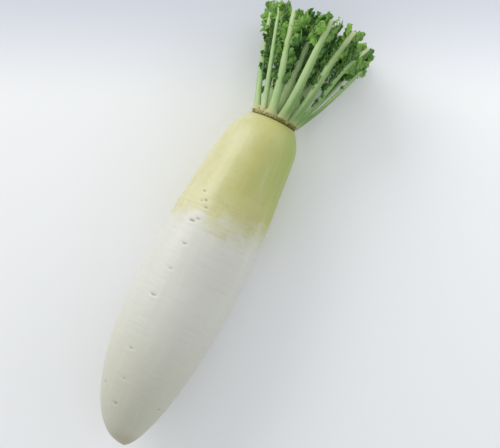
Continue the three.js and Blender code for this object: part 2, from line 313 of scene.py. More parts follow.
def shade_smooth(mesh):
    """Smooths the shading of all of a mesh's faces."""
    mesh.polygons.foreach_set("use_smooth", np.ones(len(mesh.polygons), bool))
    mesh.update()


def tube_faces(rings, sides):
    """Faces of a closed tube of rings, each with the same number of sides."""
    faces = []
    for i in range(rings - 1):
        for j in range(sides):
            k = (j + 1) % sides
            faces.append((i * sides + j, i * sides + k, (i + 1) * sides + k, (i + 1) * sides + j))
    faces.append(tuple(range(sides - 1, -1, -1)))
    faces.append(tuple(range((rings - 1) * sides, rings * sides)))
    return faces


def sheet_faces(rows, columns):
    """Faces of a thin closed sheet: its upper side's points come first, then its under side's."""
    shift = rows * columns
    faces = []
    for i in range(rows - 1):
        for j in range(columns - 1):
            a, b = i * columns + j, (i + 1) * columns + j
            faces.append((a, b, b + 1, a + 1))
            faces.append((shift + a, shift + a + 1, shift + b + 1, shift + b))
        a, b = i * columns, (i + 1) * columns
        faces.append((a, shift + a, shift + b, b))
        a, b = a + columns - 1, b + columns - 1
        faces.append((a, b, shift + b, shift + a))
    for j in range(columns - 1):
        faces.append((j, j + 1, shift + j + 1, shift + j))
        a = (rows - 1) * columns + j
        faces.append((a, shift + a, shift + a + 1, a + 1))
    return faces


def wavering(*spot):
    """Soft noise between -1 and 1, from three arrays of coordinates or numbers."""
    spot = np.broadcast_arrays(*spot)
    values = [noise.noise(Vector(point)) for point in zip(*(v.flat for v in spot))]
    return np.reshape(values, spot[0].shape)


def new_shape(name, points, faces, **held):
    """A closed shape one unit long, to set on points, with what its own points hold."""
    mesh = bpy.data.meshes.new(name)
    mesh.from_pydata(points, [], faces)
    give(mesh, "FLOAT", **held)
    face_outwards(mesh)
    return bpy.data.objects.new(name, mesh)


def dressed(piece, material, slot, *nodes):
    """Finishes a piece: its material, the body it moves with and the solids that it stands for."""
    piece.data.materials.clear()
    piece.data.materials.append(material)
    shade_smooth(piece.data)
    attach(piece, "root")
    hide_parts(*nodes)
    return piece


# ---------------------------------------------------------------- node trees


def add(tree, kind, values=None, **settings):
    """Adds a node. Values go to its inputs, as plain values or as sockets to link."""
    made = tree.nodes.new(kind)
    for key, value in settings.items():
        setattr(made, key, value)
    for key, value in (values or {}).items():
        if isinstance(value, bpy.types.NodeSocket):
            tree.links.new(value, made.inputs[key])
        else:
            made.inputs[key].default_value = value
    return made


def calc(tree, operation, *values):
    """A maths node's result."""
    return add(tree, "ShaderNodeMath", dict(enumerate(values)), operation=operation).outputs[0]


def vector_calc(tree, operation, first, second):
    """A vector maths node's result. Its second value is a number only if it scales."""
    key = "Scale" if operation == "SCALE" else 1
    made = add(tree, "ShaderNodeVectorMath", {0: first, key: second}, operation=operation)
    return made.outputs[1 if operation == "DOT_PRODUCT" else 0]


def named(tree, name, kind="FLOAT"):
    """What a named attribute holds, in a geometry tree."""
    return add(tree, "GeometryNodeInputNamedAttribute", {"Name": name}, data_type=kind).outputs[0]


def new_tree(name, kind, inputs, outputs):
    """An empty node group with named sockets, and its input and output nodes."""
    tree = bpy.data.node_groups.new(name, kind)
    for way, sockets in (("INPUT", inputs), ("OUTPUT", outputs)):
        for label, socket_kind, *default in sockets:
            socket = tree.interface.new_socket(label, in_out=way, socket_type=socket_kind)
            if default:
                socket.default_value = default[0]
    return tree, tree.nodes.new("NodeGroupInput"), tree.nodes.new("NodeGroupOutput")


def grown(piece, tree, **values):
    """Runs a geometry tree on an object and keeps the result as its plain mesh."""
    modifier = piece.modifiers.new(tree.name, "NODES")
    modifier.node_group = tree
    for socket in tree.interface.items_tree:
        if socket.name in values:
            modifier[socket.identifier] = values[socket.name]
    graph = bpy.context.evaluated_depsgraph_get()
    made = bpy.data.meshes.new_from_object(
        piece.evaluated_get(graph), preserve_all_data_layers=True, depsgraph=graph
    )
    piece.modifiers.clear()
    old, piece.data = piece.data, made
    bpy.data.meshes.remove(old)
    made.name = piece.name
    return piece


def with_material(tree, given, out, last):
    """Ends a geometry tree: sets the material that it is given on what its last node makes."""
    values = {"Geometry": last.outputs[0], "Material": given.outputs["Material"]}
    tree.links.new(add(tree, "GeometryNodeSetMaterial", values).outputs[0], out.inputs[0])
    return tree


def stalk_tree():
    """Sweeps a ribbed section along each line of points, using what the points hold."""
    tree, given, out = new_tree(
        "Leaf stalks",
        "GeometryNodeTree",
        [
            ("Lines", "NodeSocketGeometry"),
            ("Sides", "NodeSocketInt", 44),
            ("Ribs", "NodeSocketInt", 11),
            ("Rib depth", "NodeSocketFloat", 0.03),
            ("Material", "NodeSocketMaterial"),
        ],
        [("Geometry", "NodeSocketGeometry")],
    )
    line = add(tree, "GeometryNodeMeshToCurve", {"Mesh": given.outputs["Lines"]})
    circle = add(tree, "GeometryNodeCurvePrimitiveCircle", {"Resolution": given.outputs["Sides"]})
    held = add(tree, "GeometryNodeCaptureAttribute", {"Geometry": circle.outputs[0]}, domain="POINT")
    held.capture_items.new("FLOAT", "Round")
    tree.links.new(add(tree, "GeometryNodeSplineParameter").outputs["Factor"], held.inputs["Round"])
    swept = add(
        tree,
        "GeometryNodeCurveToMesh",
        {"Curve": line.outputs[0], "Profile Curve": held.outputs["Geometry"], "Fill Caps": True},
    )
    angle = calc(tree, "MULTIPLY", held.outputs["Round"], math.tau)
    cosine, sine = calc(tree, "COSINE", angle), calc(tree, "SINE", angle)
    facing = calc(tree, "SINE", calc(tree, "ADD", angle, named(tree, "turn")))
    # A stalk is flatter on its inner side, and hollowed along the middle of it.
    groove = calc(tree, "MULTIPLY_ADD", calc(tree, "MULTIPLY", cosine, cosine), -0.3375, 0.75)
    hollow = calc(tree, "MULTIPLY", cosine, groove)
    outside = calc(tree, "GREATER_THAN", cosine, 0.0)
    height = add(tree, "ShaderNodeMix", {0: outside, 2: hollow, 3: cosine}).outputs[0]
    ribs = calc(tree, "COSINE", calc(tree, "MULTIPLY", angle, given.outputs["Ribs"]))
    swell = calc(tree, "MULTIPLY_ADD", ribs, given.outputs["Rib depth"], 1.0)
    rise, run = calc(tree, "MULTIPLY", height, swell), calc(tree, "MULTIPLY", sine, swell)
    away = vector_calc(tree, "SCALE", named(tree, "thick", "FLOAT_VECTOR"), rise)
    across = vector_calc(tree, "SCALE", named(tree, "wide", "FLOAT_VECTOR"), run)
    offset = vector_calc(tree, "ADD", away, across)
    point = vector_calc(tree, "ADD", named(tree, "centre", "FLOAT_VECTOR"), offset)
    placed = add(tree, "GeometryNodeSetPosition", {"Geometry": swept.outputs[0], "Position": point})
    sided = add(
        tree,
        "GeometryNodeStoreNamedAttribute",
        {"Geometry": placed.outputs[0], "Name": "beside", "Value": facing},
        data_type="FLOAT",
        domain="POINT",
    )
    plain = add(tree, "GeometryNodeRealizeInstances", {"Geometry": sided.outputs[0]})
    return with_material(tree, given, out, plain)


def placing_tree():
    """Sets a shape from a collection on each point, turned, sized and bent by what the point holds."""
    tree, given, out = new_tree(
        "Set shapes on points",
        "GeometryNodeTree",
        [
            ("Points", "NodeSocketGeometry"),
            ("Shapes", "NodeSocketCollection"),
            ("Size", "NodeSocketFloat", 1.0),
            ("Material", "NodeSocketMaterial"),
        ],
        [("Geometry", "NodeSocketGeometry")],
    )
    shapes = add(
        tree,
        "GeometryNodeCollectionInfo",
        {"Collection": given.outputs["Shapes"], "Separate Children": True, "Reset Children": True},
    )
    turned = add(
        tree,
        "FunctionNodeAxesToRotation",
        {
            "Primary Axis": named(tree, "along", "FLOAT_VECTOR"),
            "Secondary Axis": named(tree, "face", "FLOAT_VECTOR"),
        },
        primary_axis="X",
        secondary_axis="Z",
    )
    size = calc(tree, "MULTIPLY", named(tree, "size"), given.outputs["Size"])
    copies = add(
        tree,
        "GeometryNodeInstanceOnPoints",
        {
            "Points": given.outputs["Points"],
            "Instance": shapes.outputs[0],
            "Pick Instance": True,
            "Instance Index": named(tree, "kind", "INT"),
            "Rotation": turned.outputs[0],
            "Scale": size,
        },
    )
    plain = add(tree, "GeometryNodeRealizeInstances", {"Geometry": copies.outputs[0]})
    reach = named(tree, "reach")
    reach = calc(tree, "MULTIPLY", reach, reach)
    bend = vector_calc(tree, "SCALE", named(tree, "bend", "FLOAT_VECTOR"), reach)
    bent = add(tree, "GeometryNodeSetPosition", {"Geometry": plain.outputs[0], "Offset": bend})
    return with_material(tree, given, out, bent)


def set_shapes(name, points, shapes, material, **held):
    """A piece with a shape on each point: its foot, along, face, bend, size, kind and tone."""
    foot, along, face, bend, size, kind, tone = zip(*points)
    made = new_object(name, place(foot), [])
    give(made.data, "FLOAT_VECTOR", along=along, face=face, bend=bend)
    give(made.data, "FLOAT", size=size, tone=tone, **held)
    give(made.data, "INT", kind=kind)
    shelf = bpy.data.collections.new(name + "_shapes")
    for shape in shapes:
        shelf.objects.link(shape)
    tree = bpy.data.node_groups.get("Set shapes on points") or placing_tree()
    grown(made, tree, Shapes=shelf, Material=material)
    bpy.data.collections.remove(shelf)
    return made


def mottle_group():
    """Shader group: soft patches that any surface can use, as a mask and as a height."""
    name = "Natural mottling"
    if name in bpy.data.node_groups:
        return bpy.data.node_groups[name]
    tree, given, out = new_tree(
        name,
        "ShaderNodeTree",
        [
            ("Scale", "NodeSocketFloat", 40.0),
            ("Stretch", "NodeSocketVector", (1.0, 1.0, 1.0)),
            ("Detail", "NodeSocketFloat", 3.0),
            ("From", "NodeSocketFloat", 0.35),
            ("To", "NodeSocketFloat", 0.65),
        ],
        [("Mask", "NodeSocketFloat"), ("Height", "NodeSocketFloat")],
    )
    spot = add(tree, "ShaderNodeTexCoord").outputs["Object"]
    spot = vector_calc(tree, "MULTIPLY", spot, given.outputs["Stretch"])
    patches = add(
        tree,
        "ShaderNodeTexNoise",
        {"Vector": spot, "Scale": given.outputs["Scale"], "Detail": given.outputs["Detail"]},
    ).outputs[0]
    mask = ease(tree, patches, given.outputs["From"], given.outputs["To"])
    tree.links.new(mask, out.inputs["Mask"])
    tree.links.new(patches, out.inputs["Height"])
    return tree


def mottle(tree, output="Mask", **values):
    """The mottling's mask or height. The mask goes from 0 at start to 1 at end."""
    ends = {"start": "From", "end": "To"}
    values = {ends.get(key, key): value for key, value in values.items()}
    return add(tree, "ShaderNodeGroup", values, node_tree=mottle_group()).outputs[output]


def blend(tree, share, first, second, strength=None):
    """A mix of two colours. A strength makes the second one's share smaller."""
    if strength is not None:
        share = calc(tree, "MULTIPLY", share, strength)
    values = {0: share, 6: first, 7: second}
    return add(tree, "ShaderNodeMix", values, data_type="RGBA").outputs[2]


def ease(tree, value, start, end):
    """0 below start, 1 above end, and smooth between."""
    values = {0: value, 1: start, 2: end}
    return add(tree, "ShaderNodeMapRange", values, interpolation_type="SMOOTHSTEP").outputs[0]


def fall(tree, value, start, end):
    """1 below start, 0 above end, and smooth between."""
    return calc(tree, "SUBTRACT", 1.0, ease(tree, value, start, end))


def reading(tree, name):
    """What a named attribute holds, in a material."""
    return add(tree, "ShaderNodeAttribute", attribute_name=name).outputs["Fac"]


def new_material(name, **plain):
    """A material with a Principled shader, its plain values set on the shader's own sockets."""
    material = bpy.data.materials.new(name)
    material.use_nodes = True
    tree = material.node_tree
    tree.nodes.clear()
    shader = add(tree, "ShaderNodeBsdfPrincipled", plain)
    add(tree, "ShaderNodeOutputMaterial", {"Surface": shader.outputs[0]})
    return material, tree, shader


def bump(tree, height, strength, distance):
    """Fine relief for a shader's normal."""
    values = {"Height": height, "Strength": strength, "Distance": distance}
    return add(tree, "ShaderNodeBump", values).outputs[0]


def wire(tree, shader, **sockets):
    """Links what a material's nodes make to its shader: Base_Color, Roughness or Normal."""
    for name, value in sockets.items():
        tree.links.new(value, shader.inputs[name.replace("_", " ")])


# ---------------------------------------------------------------- settings
# The next six make a property from its name, its description and its default.


def number(name, description, default, **more):
    return FloatProperty(name=name, description=description, default=default, **more)


def length(name, description, default):
    return number(name, description, default, unit="LENGTH", precision=5)


def power(name, description, default):
    return number(name, description, default, unit="POWER")


def camera_angle(name, description, degrees):
    return number(name, description, math.radians(degrees), subtype="ANGLE")


def count(name, description, default):
    return IntProperty(name=name, description=description, default=default)


def colour(name, description, default):
    return FloatVectorProperty(
        name=name, description=description, default=default, size=4, min=0, max=1, subtype="COLOR"
    )


BORDER_SHARE = 0.655  # share of the root's length where its green starts


class DaikonRootSettings(bpy.types.PropertyGroup):
    pit_depth: length("Pit depth", "How deep the dents of the side roots are", 0.0006)
    ring_depth: length("Ring depth", "How deep the fine rings round the root are", 0.00013)
    pits: count("Pits", "Dents on the sides that the list leaves out", 46)
    border: number("Border", "Where white turns green, from tail to crown", BORDER_SHARE, subtype="FACTOR")
    white: colour("White", "Skin that grew under the soil", (0.60, 0.595, 0.535, 1))
    cream: colour("Cream", "Warmer patches of the white skin", (0.575, 0.565, 0.49, 1))
    # Pale green, green and deep green run from the lit side to the side away from the light: partly the
    # skin's own colour, partly painted light and painted shade.
    pale_green: colour("Pale green", "Shoulder where little sun fell", (0.575, 0.55, 0.315, 1))
    green: colour("Green", "Most of the shoulder", (0.468, 0.452, 0.160, 1))
    deep_green: colour("Deep green", "Shoulder on its sunny side", (0.318, 0.388, 0.088, 1))
    olive: colour("Olive", "Patches of the green skin", (0.36, 0.38, 0.11, 1))
    # Darker, warmer white towards the tail: partly the skin's own tint, partly painted shade.
    tail_tint_and_shade: colour("Tail", "White skin towards the tail", (0.51, 0.50, 0.395, 1))
    brown: colour("Brown", "Dried tail tip", (0.36, 0.27, 0.14, 1))
    pit: colour("Pit", "Bottoms of the pits", (0.17, 0.165, 0.10, 1))


class DaikonCrownSettings(bpy.types.PropertyGroup):
    wrinkle: length("Wrinkle", "Depth of the wrinkles in the cork", 0.0005)
    scales: count("Scales", "Dried scales round the rim", 40)
    cork: colour("Cork", "Dry ring round the stalks", (0.24, 0.215, 0.05, 1))
    straw: colour("Straw", "Palest dried scales", (0.52, 0.51, 0.24, 1))
    fresh: colour("Fresh", "Living tissue between the scars", (0.24, 0.27, 0.05, 1))


class DaikonStalkSettings(bpy.types.PropertyGroup):
    ribs: count("Ribs", "Ribs round a stalk", 13)
    rib_depth: number("Rib depth", "Share of the stalk's width", 0.022)
    base: colour("Base", "Pale lower half of a stalk", (0.58, 0.64, 0.38, 1))
    # The shaded base and shaded green are fitted to the stalks on the side of the fan away from the light:
    # painted shade.
    shaded_base: colour("Shadier base", "Lower half on the sunny side", (0.25, 0.40, 0.155, 1))
    green: colour("Green", "Upper half of a stalk", (0.33, 0.50, 0.20, 1))
    shaded_green: colour("Shadier green", "Upper half on the sunny side", (0.41, 0.57, 0.25, 1))
    # The inner rings' stalks get a lighter green: partly their own fresher colour, partly painted light
    # against the shade of the stalks round them.
    young: colour("Young", "Stalks in the middle of the fan", (0.62, 0.79, 0.38, 1))
    flank: colour("Flank", "Shaded edge of a stalk", (0.17, 0.30, 0.075, 1))
    dry: colour("Dry", "Stalk next to its cut", (0.63, 0.64, 0.38, 1))
    foot: colour("Foot", "Dry skin of a stalk's foot", (0.50, 0.47, 0.22, 1))
    cut: colour("Cut", "Pith on the cut end", (0.66, 0.70, 0.44, 1))


class DaikonLeafletSettings(bpy.types.PropertyGroup):
    teeth: count("Teeth", "Teeth on each side of a leaflet", 6)
    tooth_depth: number("Tooth depth", "Share of the width", 0.34)
    ruffle: number("Ruffle", "How wavy the margins are", 0.14)
    small_pairs: count("Small pairs", "Pairs of small leaflets on a stalk", 11)
    # The deep green for leaflets inside the fan is painted shade; the lighter green for lighter leaflets
    # is partly random, partly painted light.
    deep: colour("Deep green", "Leaflets inside the fan", (0.026, 0.088, 0.018, 1))
    green: colour("Green", "Upper side of a leaflet", (0.048, 0.155, 0.028, 1))
    young: colour("Young green", "Lighter leaflets", (0.26, 0.50, 0.085, 1))
    vein: colour("Vein", "Veins of a leaflet", (0.16, 0.28, 0.08, 1))


class DaikonStageSettings(bpy.types.PropertyGroup):
    floor: colour("Floor", "Surface under the radish", (0.86, 0.86, 0.86, 1))
    # The far floor colour is painted shade, darker and bluer away from the lights.
    far_floor_shade: colour("Far floor", "Surface past the leaves", (0.58, 0.60, 0.67, 1))
    key: power("Key light", "Power of the large soft light", 25)
    fill: power("Fill light", "Power of the light across from it", 1.8)
    side: power("Side light", "Power of the light next to the leaves", 1.3)
    sky: number("Sky", "Strength of the light from all round", 0.7)
    elevation: camera_angle("Elevation", "Camera over the surface", 86)
    bearing: camera_angle("Bearing", "Camera round the radish", 204.33)


# ---------------------------------------------------------------- the root

ROOT_RINGS, ROOT_SIDES = 300, 250  # of the root's fine mesh
NOSE_RINGS = 14  # as many of its rings crowd together at the tail tip
GROWTH_LINES = 150  # fine rings round parts of the root

# Dents that side roots left: place along the root in millimetres, turn in degrees, length, depth.
PITS = (
    (218.8, -34, 2.6, 1.0), (210.3, -30, 1.6, 0.9), (212.0, -25, 2.4, 1.1), (206.2, -20, 2.4, 1.0),
    (192.2, -28, 4.2, 1.2), (195.2, -22, 3.0, 0.9), (181.3, -47, 2.2, 0.7), (165.3, -82, 2.4, 0.8),
    (172.2, -22, 3.2, 1.0), (149.0, -23, 3.8, 0.8), (123.8, -28, 4.4, 1.0), (77.0, -26, 3.2, 0.9),
    (42.5, -56, 2.2, 1.0), (52.2, -20, 2.4, 0.8), (30.8, -22, 2.6, 1.0), (39.5, 57, 2.2, 0.8),
)

# Where the green starts: turn in degrees, place along the root in millimetres, softness of the edge.
BORDER = (
    (-180, 190, 6), (-100, 193, 5), (-62, 193, 4), (-46, 196, 4), (-28, 203, 4), (-16, 198, 5),
    (-2, 190, 6), (10, 192, 6), (30, 199, 8), (55, 199, 9), (75, 200, 9), (120, 197, 7), (180, 190, 6),
)
# How many times the border's softness it moves by, for a whole length of the root.
BORDER_SHIFT = 40.0
# White that stays within the green: place along the root and turn, then half its length in
# millimetres and half its width in degrees.
PALE_PATCH = (204.0, 7, 5.0, 8)


def border_reach(x, turn):
    """How far each point is past the border, as a multiple of the border's softness."""
    degrees = np.degrees(turn) - 360 * np.round(np.degrees(turn) / 360)
    angles, places, softness = zip(*BORDER)
    reach = (x - np.interp(degrees, angles, places)) / np.interp(degrees, angles, softness)
    middle, angle, long, wide = PALE_PATCH
    return reach - 2.2 * np.exp(-(((x - middle) / long) ** 2) - ((degrees - angle) / wide) ** 2)


def hidden_pits(total):
    """Dents for the sides that the list leaves out, in two loose rows as side roots grow."""
    made = []
    for i in range(total):
        row = 95 if i % 2 else 215
        turn = row + 42 * (draw(i, 1, 20) - 0.5) + (40 if draw(i, 5, 20) > 0.8 else 0)
        middle = 24 + 205 * ((i + draw(i, 2, 20)) / total)
        made.append((middle, turn, mix(1.4, 4.2, draw(i, 3, 20)), mix(0.5, 1.1, draw(i, 4, 20))))
    return made


def root_relief(share, turn, settings):
    """Height of the skin over its smooth form, and how deep in a pit each point is."""
    x = share * ROOT_LENGTH
    radius = root_radius(share)
    relief = np.zeros_like(turn)
    pit = np.zeros_like(turn)
    for middle, angle, long, deep in (*PITS, *hidden_pits(settings.pits)):
        off = wrapped(turn - math.radians(angle))
        sideways = off * radius / long
        dent = np.exp(-np.abs(sideways * 1.15) ** 2.2)
        sag = 0.5 * (sideways**2)
        narrow = np.exp(-(((x - middle - sag * 0.4) / 1.05) ** 2))
        lip = np.exp(-(((x - middle + 1.9) / 1.5) ** 2))
        relief += deep * dent * (0.34 * lip - narrow)
        pit = np.maximum(pit, dent * narrow * deep)
    relief *= settings.pit_depth / MM
    rings = np.zeros_like(turn)
    for i in range(GROWTH_LINES):
        middle = 8 + 252 * draw(i, 1, 30) ** 0.9
        half = mix(0.18, 0.9, draw(i, 3, 30) ** 2)
        off = wrapped(turn - 2 * np.pi * draw(i, 2, 30))
        wander = 0.5 * np.sin(5 * off + 7 * draw(i, 4, 30))
        band = np.exp(-(((x - middle - wander) / mix(0.35, 0.8, draw(i, 5, 30))) ** 2))
        rings -= mix(0.4, 1.2, draw(i, 6, 30)) * band * np.exp(-((off / half) ** 2))
    relief += rings * settings.ring_depth / MM
    return relief, pit


def root_mesh(settings):
    """The root's fine mesh: the solid's form with pits, rings and a slow unevenness."""
    along = np.linspace(0, 1, ROOT_RINGS)
    share = 0.72 * along + 0.28 * (1 - np.cos(np.pi * along)) / 2
    share[:NOSE_RINGS] = share[NOSE_RINGS] * (np.arange(NOSE_RINGS) / NOSE_RINGS) ** 2.2
    turn = np.linspace(0, 2 * np.pi, ROOT_SIDES, endpoint=False)
    share, turn = np.meshgrid(share, turn, indexing="ij")
    relief, pit = root_relief(share, turn, settings)
    x = share * ROOT_LENGTH
    radius = root_radius(share) * root_uneven(share, turn)
    fade = np.clip(radius / 18, 0, 1) * np.clip((1 - share) / 0.04, 0, 1)
    slow = wavering(x / 26, 2.1 * np.cos(turn), 2.1 * np.sin(turn))
    flow = wavering(x / 60, 9 * np.cos(turn), 9 * np.sin(turn) + 5)
    radius = radius + fade * (relief + 0.25 * slow + 0.10 * flow)
    y = root_bow(share) - radius * np.sin(turn)
    z = np.maximum(0.0, axis_height(x) + radius * np.cos(turn))
    points = np.stack([x, y, z], axis=-1).reshape(-1, 3)
    made = new_object("daikon_root", place(points), tube_faces(ROOT_RINGS, ROOT_SIDES))
    border = border_reach(x, turn)
    give(made.data, "FLOAT", along=share, pit=pit, border=border, right=np.sin(turn))
    face_outwards(made.data)
    return made


def skin_material(settings):
    """Skin of the root: white, green past the border, with lines, pits and a brown tail."""
    material, tree, shader = new_material(
        "daikon_skin",
        **{
            "Subsurface Weight": 0.12,
            "Subsurface Radius": (0.006, 0.005, 0.003),
            "Subsurface Scale": 1.0,
        },
    )
    along, pit, right = reading(tree, "along"), reading(tree, "pit"), reading(tree, "right")
    border = reading(tree, "border")
    # The border wanders round the root and breaks up in tongues that follow the fine rings.
    tongues = mottle(tree, "Height", Scale=40.0, Stretch=(2.0, 0.65, 0.65), Detail=4.0)
    patches = mottle(tree, "Height", Scale=95.0, Stretch=(1.6, 1.0, 1.0), Detail=3.0)
    edge = calc(tree, "MULTIPLY_ADD", tongues, 4.4, calc(tree, "MULTIPLY_ADD", patches, 3.2, -3.8))
    edge = calc(tree, "ADD", edge, BORDER_SHIFT * (BORDER_SHARE - settings.border))
    edge = calc(tree, "ADD", edge, border)
    green = ease(tree, edge, -2.0, 2.2)
    # Greener towards the crown. Paler on the lit side and darker green on the side away from the light:
    # partly the skin's own colour, partly painted light and painted shade.
    shaded = calc(tree, "MULTIPLY_ADD", mottle(tree, "Height", Scale=20.0, Detail=4.0), 0.9, right)
    shaded = calc(tree, "ADD", shaded, calc(tree, "MULTIPLY_ADD", ease(tree, border, 0.0, 8.0), 0.75, -0.75))
    skin = blend(tree, ease(tree, shaded, -0.6, 0.65), settings.pale_green, settings.green)
    skin = blend(tree, ease(tree, shaded, 0.4, 1.4), skin, settings.deep_green)
    olive = mottle(tree, Scale=70.0, Stretch=(1.0, 1.4, 1.4), Detail=4.0, start=0.42, end=0.72)
    skin = blend(tree, olive, skin, settings.olive, strength=0.30)
    cream = mottle(tree, Scale=9.0, Detail=2.0, start=0.4, end=0.8)
    white = blend(tree, cream, settings.white, settings.cream)
    # Darker and warmer towards the tail: partly the skin's own tint, partly painted shade.
    tail_tint_and_shade = fall(tree, along, 0.04, 0.48)
    white = blend(tree, tail_tint_and_shade, white, settings.tail_tint_and_shade, strength=0.9)
    base = blend(tree, green, white, skin)
    # Fine lines round the root, strongest next to the border, and faint fibres along it.
    lines = mottle(tree, Scale=60.0, Stretch=(6.0, 0.8, 0.8), Detail=4.0, start=0.46, end=0.72)
    near = calc(tree, "ABSOLUTE", calc(tree, "SUBTRACT", border, 2.0))
    near = fall(tree, near, 0.5, 5.5)
    lines = calc(tree, "MULTIPLY", lines, calc(tree, "MULTIPLY_ADD", near, 0.17, 0.06))
    base = blend(tree, lines, base, (0.36, 0.35, 0.17, 1))
    fibres = mottle(tree, Scale=90.0, Stretch=(0.12, 1.6, 1.6), Detail=2.0, start=0.5, end=0.8)
    base = blend(tree, fibres, base, (0.75, 0.74, 0.60, 1), strength=0.09)
    # Earth stays in the pits and on the tail.
    dirt = calc(tree, "MULTIPLY", ease(tree, pit, 0.25, 0.95), 0.62)
    base = blend(tree, dirt, base, settings.pit)
    tail = calc(tree, "MULTIPLY_ADD", mottle(tree, "Height", Scale=50.0, Detail=3.0), 0.05, along)
    tail = fall(tree, tail, 0.03, 0.075)
    base = blend(tree, tail, base, settings.brown, strength=0.45)
    top = ease(tree, along, 0.985, 1.0)
    base = blend(tree, top, base, (0.40, 0.36, 0.14, 1), strength=0.35)
    shine = mottle(tree, "Height", Scale=45.0, Detail=4.0)
    rough = calc(tree, "MULTIPLY_ADD", shine, 0.22, 0.30)
    rough = calc(tree, "MULTIPLY_ADD", dirt, 0.5, rough)
    fine = mottle(tree, "Height", Scale=150.0, Stretch=(2.2, 0.8, 0.8), Detail=4.0)
    pores = mottle(tree, "Height", Scale=900.0, Detail=2.0)
    height = calc(tree, "MULTIPLY_ADD", pores, 0.25, fine)
    wire(tree, shader, Base_Color=base, Roughness=rough, Normal=bump(tree, height, 0.25, 0.0006))
    return material


class DAIKON_OT_root(bpy.types.Operator):
    """Make the root with its pits, fine rings, green shoulder and brown tail"""

    bl_idname = "daikon.root"
    bl_label = "Root"

    def execute(self, context):
        settings = context.scene.daikon_root
        dressed(root_mesh(settings), skin_material(settings), "root_skin", "root")
        return {"FINISHED"}


# ---------------------------------------------------------------- the crown

CROWN_SIDES = 300
RIM = 0.9  # share of the crown's radius past which it is fully wrinkled


def crown_mesh(settings):
    """The corky disc that the stalks grow from, wrinkled and scarred."""
    low, mid, high = (ring["step"] for ring in RINGS)
    section = (
        (PIECE_GAP, 0.02), (PIECE_GAP, 0.5), (PIECE_GAP, 0.9), (0.7, 0.975), (1.2, 1.0), (1.8, 1.0),
        (2.4, 0.985), (low - 0.2, 0.96), (low, 0.93), (low, 0.86), (low, 0.78), (low, 0.7),
        (low, 0.61), (mid - 0.3, 0.602), (mid, 0.59), (mid, 0.5), (mid, 0.4), (mid, 0.3),
        (high - 0.3, 0.292), (high, 0.28), (high, 0.15), (high, 0.02),
    )
    turn = np.linspace(0, 2 * np.pi, CROWN_SIDES, endpoint=False)
    rim = crown_rim(turn)
    rows, wrinkles = [], []
    for height, out in section:
        rough = wavering(9 * np.cos(turn) * out, 9 * np.sin(turn) * out, height * 0.9)
        fine = wavering(34 * np.cos(turn) * out, 34 * np.sin(turn) * out, height * 2)
        raised = height > PIECE_GAP
        inwards = (0.8 * rough + 0.4 * fine) * settings.wrinkle / MM * (1 if out > RIM else 0.4)
        radius = rim * out + inwards * raised
        lift = 0.35 * (rough + fine) * (raised and out > 0.2)
        x = ROOT_LENGTH + height + np.minimum(lift, 0.25)
        side = fan_side(height) - radius * np.sin(turn)
        rows.append(np.stack([x, side, axis_height(x) + radius * np.cos(turn)], -1))
        wrinkles.append(rough + fine)
    faces = tube_faces(len(rows), CROWN_SIDES)
    made = new_object("daikon_crown", place(np.concatenate(rows)), faces)
    give(made.data, "FLOAT", wrinkle=np.concatenate(wrinkles))
    face_outwards(made.data)
    return made


def cork_material(settings):
    """Dry cork of the crown, dark in the hollows of its wrinkles, which is painted shade, and greenish in
    patches.
    """
    material, tree, shader = new_material("crown_cork", **{"Specular IOR Level": 0.25})
    # Darker where the wrinkles sink in: painted shade.
    wrinkle = ease(tree, reading(tree, "wrinkle"), -0.5, 0.6)
    patches = mottle(tree, Scale=300.0, Detail=4.0, start=0.35, end=0.65)
    base = blend(tree, wrinkle, (0.10, 0.07, 0.03, 1), settings.cork, strength=0.8)
    base = blend(tree, patches, base, settings.fresh, strength=0.55)
    rough = calc(tree, "MULTIPLY_ADD", patches, -0.2, 0.9)
    grain = mottle(tree, "Height", Scale=700.0, Detail=5.0)
    wire(tree, shader, Base_Color=base, Roughness=rough, Normal=bump(tree, grain, 0.7, 0.0006))
    return material


SCALE_SHAPES = 3  # how many different dried scales there are
SKIRT_STEP = 9.5  # degrees between the three skirts at an outer stalk's foot
# A dried scale's rows of three points: how far along it and how wide it is to each side.
SCALE_ROWS = ((0.0, 0.42), (0.3, 0.5), (0.6, 0.42), (0.85, 0.24), (1.0, 0.05))


def scale_shape(seed):
    """A dried scale: a thin, torn, curled strip with a closed edge."""
    points = []
    for side in (0.5, -0.5):
        for i, (v, half) in enumerate(SCALE_ROWS):
            for u in (-1.0, 0.0, 1.0):
                torn = 1 + 0.7 * (draw(seed, 10 * i + int(u + 2), 70) - 0.5)
                curl = 0.35 * v * v + 0.12 * u * u * draw(seed, i, 71)
                points.append((v * mix(0.85, 1.1, draw(seed, i, 72)), u * half * torn, curl + 0.06 * side))
    reach = [row[0] for row in SCALE_ROWS for _ in range(3)] * 2
    return new_shape(f"scale_{seed}", points, sheet_faces(len(SCALE_ROWS), 3), reach=reach)


def set_scale(turn, height, radius, slant, lean, size, bend, kind, tone):
    """Where one dried scale grows on the crown's rim, and how it is turned, sized and bent."""
    outwards, sideways = (Vector(v) for v in directions(turn))
    up = UP * math.cos(slant) + sideways * math.sin(slant)
    along = up * math.cos(lean) + outwards * math.sin(lean)
    face = outwards * math.cos(lean) - up * math.sin(lean)
    radius *= float(crown_rim(turn))
    x = ROOT_LENGTH + height
    foot = (x, fan_side(height) + radius * outwards.y, axis_height(x) + radius * outwards.z)
    return foot, along, face, outwards * bend * size, size, kind, tone


